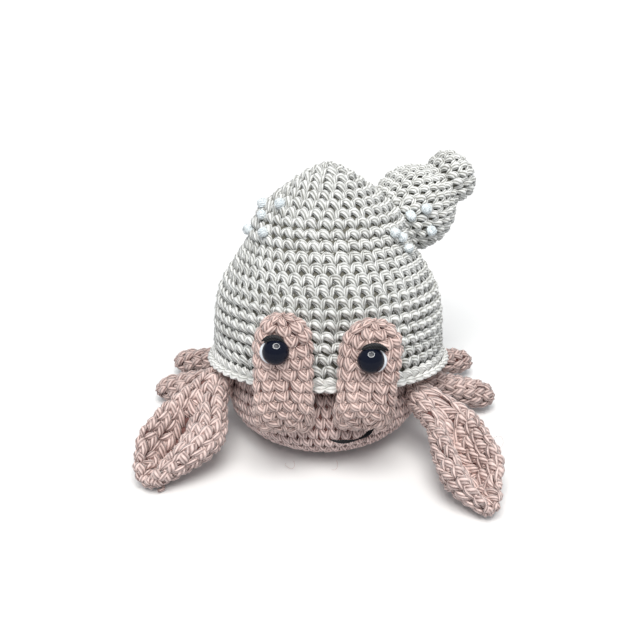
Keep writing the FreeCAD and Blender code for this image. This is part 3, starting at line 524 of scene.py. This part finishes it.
inner_high_middle = shell_foot + shell_axis * 0.045
inner_pitch, inner_rise, lining_depth = 0.0048, 0.0044, 0.0011
inner_face = survey("shell_cover", inner_high_middle, shell_rim_middle, (1, 0, 0),
                    caps=(True, False), inward=True, rows=90)
bar_stitch = [((-0.44, -0.1), (0.0, -0.28), (0.44, -0.1), 0.0009, -0.0003, -0.0012),
              ((-0.1, 0.3), (0.05, 0.4), (0.2, 0.2), 0.0008, -0.0005, -0.0013)]
inner_places = stitch_places(inner_face, inner_pitch, inner_rise, drift=0.4, seed=6)
piece = stitched("shell_stitches_inside", inner_face, inner_places,
                 strand_form(bar_stitch, 6, 6, inner_pitch, inner_rise), grey_yarn, "shell")
piece = backing("shell_lining", inner_face, lining_depth, grey_shade_cloth, "shell")

# Shell edging
# The last round of the shell, worked in brighter yarn loops that lie on their side as a braid and
# flare out a little over the body.


def turned_face(foot, axis, side, profile, rows=60, turns=160, closed=False):
    """A face of revolution from (radius, height) points along an axis."""
    axis, side = np.array(axis), np.array(side)
    right = side - axis * side.dot(axis)
    right /= np.linalg.norm(right)
    back = np.cross(axis, right)
    profile = np.array(profile)
    run = np.concatenate([[0], np.cumsum(np.linalg.norm(np.diff(profile, axis=0), axis=1))])
    steps = np.linspace(0, run[-1], rows)
    radius, level = (np.interp(steps, run, profile[:, c]) for c in (0, 1))
    for _ in range(3):
        radius[1:-1] = (radius[:-2] + 2 * radius[1:-1] + radius[2:]) / 4
        level[1:-1] = (level[:-2] + 2 * level[1:-1] + level[2:]) / 4
    spin = np.linspace(0, 2 * math.pi, turns, endpoint=False)
    way = np.cos(spin)[:, None] * right + np.sin(spin)[:, None] * back
    points = np.array(foot) + level[:, None, None] * axis + radius[:, None, None] * way
    return finished_face(points, np.array(foot) + axis * (level[0] + level[-1]) / 2, closed)


bright_yarn = yarn_material("grey_yarn_edging", (1, 1, 0.98), (0.36, 0.36, 0.33))
rim, flare = 0.0396, 0.0017
edging_pitch, edging_rise = 0.0040, 0.0042
edging_profile = [(rim - 0.0006, 0.0040), (rim + 0.0002, 0.0030), (rim + flare, 0.0004),
                  (rim + flare - 0.0002, -0.0002)]
edging_face = turned_face(shell_foot, shell_axis, (1, 0, 0), edging_profile, turns=200)
braid_stitch = [((0.66, -0.34), (0.0, -0.50), (-0.62, -0.02), 0.00112, 0.0, -0.0013),
                ((0.66, 0.40), (0.0, 0.52), (-0.62, 0.06), 0.00122, 0.0001, -0.0013)]
edging_places = stitch_places(edging_face, edging_pitch, edging_rise, seed=7)
piece = stitched("shell_edging_braid", edging_face, edging_places,
                 strand_form(braid_stitch, 12, 12, edging_pitch, edging_rise), bright_yarn, "shell")
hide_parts("shell_edging")
under_profile = [(rim + 0.0006, 0.0036), (rim + 0.0004, 0.0010), (rim - 0.0008, 0.0006),
                 (rim - 0.0022, 0.0012), (rim - 0.0022, 0.0040)]
under_face = turned_face(shell_foot, shell_axis, (1, 0, 0), under_profile, turns=200)
piece = backing("shell_edging_cloth", under_face, 0.0, bright_yarn, "shell", rows=24, turns=160)

# Yarn knots
# Small knots of white yarn pulled through the loops beside the spire and on the left of the peak,
# like barnacles; each is a few turns of yarn drawn tight.


def cord_piece(name, paths, radii, material, body, sides=10, plies=0.12, twist=1500.0, seed=1):
    """Round strands of twisted plies along paths, with one radius for each point of a path."""
    rng = np.random.default_rng(seed)
    points, faces, tones, ply_marks, places, base = [], [], [], [], [], 0
    across = math.ceil(math.sqrt(len(paths)))
    for number, (path, radius) in enumerate(zip(paths, radii)):
        path = np.array(path, float)
        way = np.gradient(path, axis=0)
        way /= np.linalg.norm(way, axis=1, keepdims=True)
        run = np.concatenate([[0], np.cumsum(np.linalg.norm(np.diff(path, axis=0), axis=1))])
        side = np.cross(way[0], (0.3, 0.5, 0.81))
        shade = rng.random()
        for i, (spot, ahead) in enumerate(zip(path, way)):
            side = side - ahead * side.dot(ahead)
            side /= np.linalg.norm(side)
            up = np.cross(ahead, side)
            for j in range(sides):
                angle = 2 * math.pi * j / sides + twist * run[i]
                reach = radius[i] * (1 + (plies if j % 2 == 0 else -plies))
                points.append(spot + side * reach * math.cos(angle) + up * reach * math.sin(angle))
                tones.append(shade)
        count = len(path)
        for i in range(count - 1):
            for j in range(sides):
                n = (j + 1) % sides
                faces.append((base + i * sides + j, base + i * sides + n,
                              base + (i + 1) * sides + n, base + (i + 1) * sides + j))
                for x, y in ((i, j), (i, j + 1), (i + 1, j + 1), (i + 1, j)):
                    ply_marks.append(y / 2)
                    places.append(((number % across + 0.03 + 0.94 * x / (count - 1)) / across,
                                   (number // across + 0.03 + 0.94 * y / sides) / across))
        base += count * sides
    # An even bulge mark: a little painted shade all along the cord.
    marks = {"bulge": np.full(len(points), 0.85), "tone": tones}
    return made_piece(name, np.array(points), np.array(faces), material, body, marks, places, ply_marks)


def solid_places(node):
    """The middle of each separate solid of a node."""
    mesh = frame["nodes"][node].data
    group = list(range(len(mesh.vertices)))

    def root(k):
        while group[k] != k:
            group[k] = group[group[k]]
            k = group[k]
        return k

    for edge in mesh.edges:
        first, second = (root(k) for k in edge.vertices)
        group[first] = second
    solids = {}
    for k, vertex in enumerate(mesh.vertices):
        solids.setdefault(root(k), []).append(np.array(vertex.co))
    whole = [spots for spots in solids.values() if len(spots) > 8]
    return [(np.min(spots, axis=0) + np.max(spots, axis=0)) / 2 for spots in whole]


white_yarn = yarn_material("white_yarn", (0.93, 0.98, 1), (0.52, 0.62, 0.68), sheen=0.4)
knot_shift = np.array((0, -0.0008, 0.0008))
loops, loop_points, loop_radius, loop_thickness = 4, 26, 0.00105, 0.00072
loop_taper = np.sin(np.linspace(0.35, math.pi - 0.35, loop_points)) ** 0.3
for side, seed in (("left", 31), ("right", 32)):
    rng = np.random.default_rng(seed)
    paths, radii = [], []
    for spot in solid_places(f"shell_knots_{side}"):
        spot = spot + knot_shift
        breadth = rng.uniform(0.85, 1.2)
        for _ in range(loops):
            first, second = rng.normal(size=3), rng.normal(size=3)
            first /= np.linalg.norm(first)
            second -= first * second.dot(first)
            second /= np.linalg.norm(second)
            spin = np.linspace(0, 2 * math.pi * 1.1, loop_points)[:, None]
            loop = np.cos(spin) * first + np.sin(spin) * second * rng.uniform(0.6, 1)
            loop += np.cross(first, second) * np.sin(spin * 2) * 0.3
            paths.append(spot + loop * loop_radius * breadth)
            radii.append(loop_thickness * loop_taper)
    piece = cord_piece(f"shell_knots_{side}_yarn", paths, radii, white_yarn, "shell", seed=4)
    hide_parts(f"shell_knots_{side}")

# Spire
# The shell's second end: a ball lobe with a small one on its tip, crocheted in smaller stitches of
# the same yarn, stuffed and sewn on the shell to the right.
spire_radius, spire_length = 0.0137, 0.0386
spire_pitch, spire_rise, spire_cloth_depth = 0.0037, 0.0035, 0.0011
tilt = Matrix.Rotation(-math.radians(13.6), 3, "X")
azimuth, slope = math.radians(22.3), math.radians(34.6)
spire_out = Vector((math.cos(azimuth), math.sin(azimuth), 0))
spire_way = spire_out * math.cos(slope) + Vector((0, 0, math.sin(slope)))
spire_foot = spire_out * 0.0343 + Vector((0, 0, 0.05)) - spire_way * spire_length * 0.35
spire_foot = shell_foot + tilt @ spire_foot
spire_axis = tilt @ spire_way
spire_profile = [(1.0, 0.0), (0.98, 0.29), (0.94, 0.50), (0.87, 0.65), (0.79, 0.67), (0.71, 0.58),
                 (0.66, 0.61), (0.6, 0.79), (0.5, 0.98), (0.35, 1.06), (0.19, 0.97), (0.09, 0.74),
                 (0.03, 0.44), (0.0, 0.2)]
spire_seat = spire_foot + Vector((-0.0019, 0, 0.0004))
spire_face = turned_face(spire_seat, spire_axis, (0, -1, 0),
                         [(spire_radius * wide, spire_length * along) for along, wide in spire_profile],
                         rows=90, turns=100, closed=True)
spire_places = stitch_places(spire_face, spire_pitch, spire_rise, drift=0.45, seed=8, wobble=0.16)
no_lift = np.zeros(len(spire_places["rows"]))
shell_tree, deepest = face_tree("shell_cover"), -0.0012
outside = []
for spot in on_face(spire_face, spire_places["rows"], spire_places["turns"], no_lift):
    near, facing = shell_tree.find_nearest(Vector(spot))[:2]
    outside.append((Vector(spot) - near).dot(facing) > deepest)
small_caret = [((-0.06, -0.46), (-0.42, -0.40), (-0.42, 0.48), 0.00090, -0.0004, -0.0012),
               ((-0.30, -0.42), (0.20, -0.56), (0.46, 0.50), 0.00122, 0.0, -0.0012)]
piece = stitched("spire_stitches", spire_face, spire_places,
                 strand_form(small_caret, 9, 10, spire_pitch, spire_rise), grey_yarn, "shell",
                 np.array(outside))
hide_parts("spire_cover")
piece = backing("spire_cloth", spire_face, spire_cloth_depth, grey_shade_cloth, "shell")

# Eye stalks
# Two flat round-topped tubes of thicker-looking pink stitches, sewn at their feet to the body's
# front; they lean back along the shell.
stalk_pitch, stalk_rise, stalk_cloth_depth = 0.0046, 0.0041, 0.0014
right_middle, widened_from, widened_by = 0.011, 0.037, 0.06
pink_stalk = yarn_material("pink_yarn_stalk", (0.94, 0.725, 0.665), (0.12, 0.034, 0.025))
fan_stitch = [((0.04, -0.66), (-0.24, -0.1), (-0.44, 0.56), 0.00122, -0.0009, -0.0015),
              ((-0.10, -0.62), (0.22, 0.0), (0.48, 0.60), 0.00132, -0.0007, -0.0014),
              ((-0.20, 0.26), (0.0, 0.42), (0.16, 0.70), 0.00090, -0.0013, -0.0016)]
for side, foot, top, seed in (("left", (-0.014, -0.0356, 0.0255), (-0.014, -0.0322, 0.0525), 21),
                              ("right", (0.0117, -0.0356, 0.0265), (0.0138, -0.0325, 0.0505), 22)):
    face = survey(f"eye_stalk_{side}", foot, top, (0, 1, 0), rows=70)
    if side == "right":
        points = face["points"]
        share = np.clip((points[..., 2] - widened_from) / 0.01, 0, 1) * widened_by
        points[..., 0] += (points[..., 0] - right_middle) * share
    places = stitch_places(face, stalk_pitch, stalk_rise, drift=0.5, seed=seed, wobble=0.15)
    piece = stitched(f"eye_stalk_{side}_stitches", face, places,
                     strand_form(fan_stitch, 10, 12, stalk_pitch, stalk_rise), pink_stalk, f"stalk_{side}")
    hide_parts(f"eye_stalk_{side}")
    piece = backing(f"eye_stalk_{side}_cloth", face, stalk_cloth_depth, pink_shade_cloth, f"stalk_{side}")

# Claws
# Flat oval pouches of chunky pink stitches, stuffed a little and pinched into a groove along the
# upper side, with the root sewn to the body's flank.
claw_pitch, claw_rise, claw_cloth_depth, groove_depth = 0.0051, 0.0038, 0.0014, 0.0056
pink_claw = yarn_material("pink_yarn_claw", (0.94, 0.74, 0.69), (0.10, 0.029, 0.023))
claw_stitch = [((0.06, -0.68), (-0.24, -0.1), (-0.44, 0.56), 0.00124, -0.0007, -0.0015),
               ((-0.12, -0.64), (0.22, 0.0), (0.50, 0.62), 0.00136, -0.0005, -0.0014),
               ((-0.20, 0.24), (0.0, 0.42), (0.18, 0.70), 0.00095, -0.0012, -0.0016)]


def pressed(face, start, ahead, up, outward, reach, depth):
    """Presses the pouch's groove into its upper side: widest before the tip, and off to the outer side."""
    offset = face["points"] - np.array(start)
    along = offset @ np.array(ahead) / reach
    aside = offset @ np.array(ahead.cross(up)) * outward - (0.0005 + 0.0030 * along)
    width = 0.0023 + 0.0014 * np.clip(along, 0, 1)
    share = np.clip((along - 0.15) / 0.4, 0, 1) * np.clip((1.12 - along) / 0.2, 0, 1)
    upper = np.clip((face["normals"] @ np.array(up)) * 2, 0, 1)
    lips = 0.24 * np.exp(-((np.abs(aside / width) - 2) / 0.8) ** 2)
    sink = depth * share * (np.exp(-(aside / width) ** 2) - lips) * upper
    near_groove, least_left = 0.004, 0.0024
    height = offset @ np.array(up)
    floor_height = np.where(np.abs(aside) < near_groove, height, 1).min(axis=1, keepdims=True)
    sink = np.minimum(sink, np.maximum(height - (floor_height + least_left), 0))
    points = face["points"] - sink[..., None] * np.array(up)
    made = finished_face(points, points.mean(axis=(0, 1)), True)
    made["groove"] = np.abs(aside / width) < 1.6
    return made


def reshaped(face, start, ahead, up, outward, reach):
    """Narrows the pouch's tip. The left one also bulges inward, and the right one stands further out."""
    bulge_height, further_out = 0.0050, 0.0046
    offset = face["points"] - np.array(start)
    along = offset @ np.array(ahead) / reach
    inner = np.array(ahead.cross(up)) * -outward
    aside = offset @ inner
    narrow = (0.16 if outward > 0 else 0.34) * np.clip((along - 0.85) / 0.25, 0, 1)
    points = face["points"] - (narrow * aside)[..., None] * inner
    if outward > 0:
        bulge = bulge_height * np.exp(-((along - 0.57) / 0.3) ** 2) * np.clip(aside / 0.008, 0, 1)
        points += bulge[..., None] * inner
    else:
        further = np.clip(along / 0.28, 0, 1) * (1 - 0.75 * np.clip((along - 0.28) / 0.72, 0, 1))
        points[..., 0] += further_out * further
    face["points"] = points
    return face


def limb_way(heading, droop):
    """The way a limb points, from its heading over the floor and its droop, both in degrees."""
    spin, fall = math.radians(heading), math.radians(droop)
    return Vector((math.cos(spin) * math.cos(fall), math.sin(spin) * math.cos(fall), -math.sin(fall)))


claw_spines, claw_faces = {}, {}
for side, heading, droop, reach, seed in (("left", 238.0, 21.5, 0.0356, 23),
                                          ("right", 295.0, 19.6, 0.0388, 24)):
    hinge = joint_value(f"claw_{side}_swing", "pos_m")
    ahead = limb_way(heading, droop)
    up = ahead.cross(Vector((0, 0, 1)).cross(ahead).normalized())
    outward = 1 if side == "left" else -1
    claw_spines[side] = (hinge, ahead, up, outward, reach)
    face = survey(f"claw_cover_{side}", hinge - up * 0.001, hinge + ahead * reach - up * 0.0034, -up,
                  rows=90, turns=120)
    face = pressed(reshaped(face, *claw_spines[side]), *claw_spines[side], groove_depth)
    claw_faces[side] = face
    places = stitch_places(face, claw_pitch, claw_rise, drift=0.5, seed=seed, wobble=0.2)
    piece = stitched(f"claw_{side}_stitches", face, places,
                     strand_form(claw_stitch, 10, 12, claw_pitch, claw_rise), pink_claw, f"claw_{side}")
    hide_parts(f"claw_cover_{side}")
    piece = backing(f"claw_{side}_cloth", face, claw_cloth_depth, pink_shade_cloth, f"claw_{side}")

hinge, ahead, up, outward, reach = claw_spines["left"]
tail_points, tail_radius = 20, 0.0005
tail_start = np.array(hinge + ahead * (reach + 0.0045) + Vector((0.003, 0.0, -0.0045)))
k = np.linspace(0, 1, tail_points)[:, None]
tail_path = tail_start + k * np.array((-0.001, -0.0035, 0.0)) + np.sin(k * 3) * np.array((0.0012, 0, -0.0006))
piece = cord_piece("claw_left_tail", [tail_path], [np.full(tail_points, tail_radius)], pink_claw, "claw_left",
                   sides=8, seed=12)

# Legs
# Four short stuffed tubes of pink yarn in the claws' stitch, two a side, sewn at their roots to the
# body's flanks and drooping to the floor.
leg_pitch, leg_rise, leg_cloth_depth = 0.0046, 0.0038, 0.0014
# The claws' pink yarn made darker: painted shade for legs that lie low under the body and claws.
shaded_pink_leg = yarn_material("pink_yarn_leg_shaded", (0.79, 0.615, 0.57), (0.10, 0.030, 0.025))
leg_spines = {}
for corner, heading, droop, reach, seed in (("front_left", 170.0, 19.6, 0.022, 25),
                                            ("rear_left", 155.6, 17.2, 0.0246, 26),
                                            ("front_right", 3.4, 19.0, 0.0214, 27),
                                            ("rear_right", 24.5, 16.7, 0.0238, 28)):
    hinge = joint_value(f"leg_{corner}_sweep", "pos_m")
    ahead = limb_way(heading, droop)
    leg_spines[corner] = (hinge, ahead, reach)
    face = survey(f"leg_cover_{corner}", hinge, hinge + ahead * reach, (0, 0, -1), rows=60, turns=80)
    places = stitch_places(face, leg_pitch, leg_rise, drift=0.5, seed=seed, wobble=0.2)
    piece = stitched(f"leg_{corner}_stitches", face, places,
                     strand_form(claw_stitch, 9, 12, leg_pitch, leg_rise), shaded_pink_leg, f"leg_{corner}")
    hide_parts(f"leg_cover_{corner}")
    piece = backing(f"leg_{corner}_cloth", face, leg_cloth_depth, pink_shade_cloth, f"leg_{corner}",
                    rows=30, turns=40)

# Eyes
# Black domed safety eyes, 8 mm by name and 8.6 mm over the rim, each on a plain shank that a washer
# locks inside the stalk; a disc of white felt under each shows as a crescent on the outer side.
# Near-black with a faint blue that is a painted reflection of a blue room around the eyes.
eye_black = plain_material("black_eye", (0.005, 0.007, 0.018), 0.05, 0.22)
washer_white = plain_material("washer_plastic", (0.85, 0.85, 0.83), 0.45)
felt = plain_material("white_felt", (0.84, 0.88, 0.93), 0.9)
eye_lean = math.radians(13.6)
eye_right = Vector((1, 0, 0))
eye_ahead = Vector((0, -math.cos(eye_lean), math.sin(eye_lean)))
eye_up = eye_ahead.cross(eye_right)
eye_levels = {"left": (-0.0358, 0.0506), "right": (-0.0366, 0.048)}


def eye_middle(side):
    """The middle of an eye's seat on its stalk."""
    low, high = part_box(f"eye_{side}")
    return ((low.x + high.x) / 2, *eye_levels[side])


def turned_piece(name, middle, profile, material, body, sides=64):
    """A round piece that faces the way the eyes do, from the (radius, height) points of its profile."""
    spin = np.linspace(0, 2 * math.pi, sides, endpoint=False)
    right, up = np.array(eye_right), np.array(eye_right.cross(eye_ahead))
    ring = np.cos(spin)[:, None] * right + np.sin(spin)[:, None] * up
    points = [np.array(middle) + np.array(eye_ahead) * level + radius * ring for radius, level in profile]
    faces = grid_faces(len(profile), sides)[..., [0, 3, 2, 1]].reshape(-1, 4)
    return made_piece(name, np.concatenate(points), faces, material, body)


dome_radius, dome_height = 0.0043, 0.0038
dome = [(0.0, dome_height)]
dome += [(dome_radius * math.sin(a), dome_height * math.cos(a)) for a in np.linspace(0.06, 1.35, 22)]
dome += [(dome_radius, 0.0004), (0.0042, 0.0001), (0.0038, -0.0001), (0.0014, -0.0002), (0.0013, -0.004),
         (0.0, -0.0041)]
disc = [(0.0, 0.0006), (0.0031, 0.0006), (0.0037, 0.0004), (0.0039, 0.0001), (0.0038, -0.0003),
        (0.0, -0.0004)]
for side, outward in (("left", -1), ("right", 1)):
    centre = Vector(eye_middle(side)) - eye_up * 0.0003
    piece = turned_piece(f"eye_{side}_dome", centre + eye_ahead * 0.0008, dome, eye_black, f"stalk_{side}")
    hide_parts(f"eye_{side}")
    frame["nodes"][f"eye_washer_{side}"].data.materials.clear()
    frame["nodes"][f"eye_washer_{side}"].data.materials.append(washer_white)
    felt_middle = centre + eye_right * 0.0012 * outward - eye_up * 0.0002 + eye_ahead * 0.0005
    piece = turned_piece(f"eye_{side}_felt", felt_middle, disc, felt, f"stalk_{side}")
    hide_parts(f"eye_white_{side}")

# Lashes
# A short lash line of black thread sewn over each eye, thick in the middle and drawn out to a point
# on the outer side.
black_thread = yarn_material("black_thread", (0.008, 0.008, 0.012), (0.003, 0.003, 0.005), sheen=0.0)
for side, turns, reaches_mm in (("left", (140, 95, 49), (5.4, 4.7, 3.8)),
                                ("right", (130, 80, 30), (4.3, 4.8, 6.1))):
    centre = np.array(eye_middle(side)) + np.array(eye_ahead) * 0.0016
    k = np.linspace(0, 1, 30)
    spin = np.radians(np.interp(k, (0, 0.5, 1), turns))[:, None]
    reach = np.interp(k, (0, 0.5, 1), reaches_mm)[:, None] / 1000
    thick = 0.00082 * np.sin(np.linspace(0.16, math.pi - 0.16, 30)) ** 0.6
    paths, radii = [], []
    for closer, thinner in ((0.0, 1.0), (0.0008, 0.85)):
        way = np.cos(spin) * np.array((1, 0, 0)) + np.sin(spin) * eye_up
        paths.append(centre + (reach - closer) * way)
        radii.append(thick * thinner)
    piece = cord_piece(f"eyelid_{side}_thread", paths, radii, black_thread, f"stalk_{side}",
                       plies=0.04, seed=9)
    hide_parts(f"eyelid_{side}")

# Mouth
# Two straight stitches of black thread on the body's front, to the right of the middle, that meet
# in a crooked smile.
body_radius = 0.0352
paths, radii = [], []
for ends, thick, peak in ((((0.0014, 0.0148), (0.0112, 0.0143)), 0.00062, 0.4),
                          (((0.0106, 0.0142), (0.0158, 0.0178)), 0.00072, 0.55)):
    (x0, z0), (x1, z1) = ends
    k = np.linspace(0, 1, 26)
    x, z = x0 + (x1 - x0) * k, z0 + (z1 - z0) * k - 0.0002 * np.sin(math.pi * k)
    out = body_radius + 0.0003 * np.sin(math.pi * k) ** 0.5 - 0.0008 * (1 - np.sin(math.pi * k) ** 0.4)
    y = 0.0015 - np.sqrt(out ** 2 - (x + 0.001) ** 2)
    paths.append(np.stack([x, y, z], 1))
    radii.append(thick * (0.35 + 0.65 * np.exp(-((k - peak) / 0.3) ** 2)))
piece = cord_piece("mouth_thread", paths, radii, black_thread, "body", seed=10)
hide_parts("mouth_stitches")

# Loose fibres
# Three fine hairs that stand out of the yarn, two below the body and one beside the right claw.
hair_points, hair_radius = 24, 0.00005
for name, body, middle, reach, first, last in (
        ("body_fibre_left", "body", (-0.0125, -0.0290, 0.0022), 0.0016, 150, 400),
        ("body_fibre_middle", "body", (0.0015, -0.0300, 0.0028), 0.0020, -90, 40),
        ("claw_right_fibre", "claw_right", (0.0560, -0.0300, 0.0120), 0.0022, -60, 130)):
    spin = np.radians(np.linspace(first, last, hair_points))
    path = np.array(middle) + reach * np.stack([np.cos(spin), 0.3 * np.sin(2 * spin), np.sin(spin)], 1)
    piece = cord_piece(name, [path], [np.full(hair_points, hair_radius)], pink_body, body, sides=6, seed=15)

# Stuffing
# Loose white polyester fibre that fills the body, the shell's peak, the spire, the claws and the
# legs; out of sight, and lumpy where it presses on the cloth.
fibre = bpy.data.materials.new("stuffing")
fibre.use_nodes = True
tree = fibre.node_tree
clumps = tree.nodes.new("ShaderNodeTexNoise")
clumps.inputs["Scale"].default_value = 400
ramp = tree.nodes.new("ShaderNodeValToRGB")
ramp.color_ramp.elements[0].color = (0.72, 0.72, 0.70, 1)
ramp.color_ramp.elements[1].color = (0.93, 0.93, 0.92, 1)
tree.links.new(clumps.outputs["Fac"], ramp.inputs["Fac"])
shader = tree.nodes["Principled BSDF"]
tree.links.new(ramp.outputs["Color"], shader.inputs["Base Color"])
shader.inputs["Roughness"].default_value = 0.95


def wad(node, face, body, depth=0.0005):
    """A lumpy copy of a stuffing solid's face, a little inside it, and none where a groove is pressed."""
    rows, turns = face["points"].shape[:2]
    s, t = np.meshgrid(np.linspace(0, rows - 1.001, rows), np.arange(turns, dtype=float), indexing="ij")
    lumps = np.sin(s * 1.3 + np.sin(t * 0.5) * 2)
    lumps *= np.cos(t * 2 * math.pi * 9 / turns + s * 0.4)
    points = on_face(face, s, t, -depth - 0.0003 * lumps).reshape(-1, 3)
    filled = ~face["groove"][:-1] if "groove" in face else np.full((rows - 1, turns), True)
    made = made_piece(f"{node}_fibre", points, grid_faces(rows, turns)[filled], fibre, body)
    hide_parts(node)


front = (0, -1, 0)
face = survey("body_stuffing", body_low_middle, body_high_middle, front, rows=40, turns=60)
wad("body_stuffing", drawn_in(face, foot_height, foot_share), "body")
face = survey("shell_stuffing", shell_foot + shell_axis * 0.053, shell_foot + shell_axis * 0.058, front,
              rows=40, turns=60)
wad("shell_stuffing", face, "shell")
wad_profile = [(spire_radius * wide * 0.8, 0.003 + 0.0335 * along) for along, wide in spire_profile]
face = turned_face(spire_seat, spire_axis, front, wad_profile, rows=40, turns=60, closed=True)
wad("spire_stuffing", face, "shell")
for side, face in claw_faces.items():
    wad(f"claw_stuffing_{side}", face, f"claw_{side}", 0.0017)
for corner, (hinge, ahead, reach) in leg_spines.items():
    face = survey(f"leg_stuffing_{corner}", hinge + ahead * 0.002, hinge + ahead * (reach - 0.002), front,
                  rows=24, turns=30)
    wad(f"leg_stuffing_{corner}", face, f"leg_{corner}")
